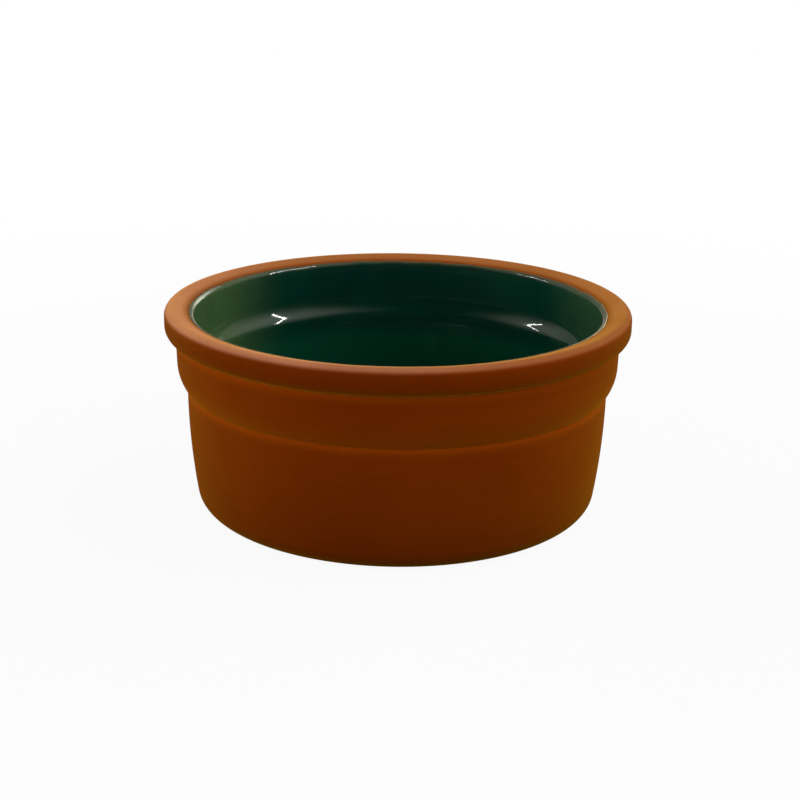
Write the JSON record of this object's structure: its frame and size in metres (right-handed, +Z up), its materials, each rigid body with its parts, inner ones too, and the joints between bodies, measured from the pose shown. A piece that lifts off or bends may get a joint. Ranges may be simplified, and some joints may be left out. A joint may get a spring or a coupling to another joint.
{
  "type": "terracotta ramekin",
  "caption": "Round clay dish, bare outside with an overhanging rim and a stepped band, lined with a glossy green glaze, for baking and serving a small portion.",
  "frame": {"origin": "middle of the foot, on the surface that the ramekin stands on", "axes": "+Z up along the axis of turning, out of the mouth; X and Y are any two directions square to it"},
  "size_m": [0.12, 0.12, 0.053],
  "materials": {
    "terracotta": "unglazed fired clay, fine and matt",
    "green_glaze": "glossy dark green glaze"
  },
  "bodies": {
    "root": {"terracotta_body": "terracotta", "glaze_lining": "green_glaze"}
  },
  "joints": []
}
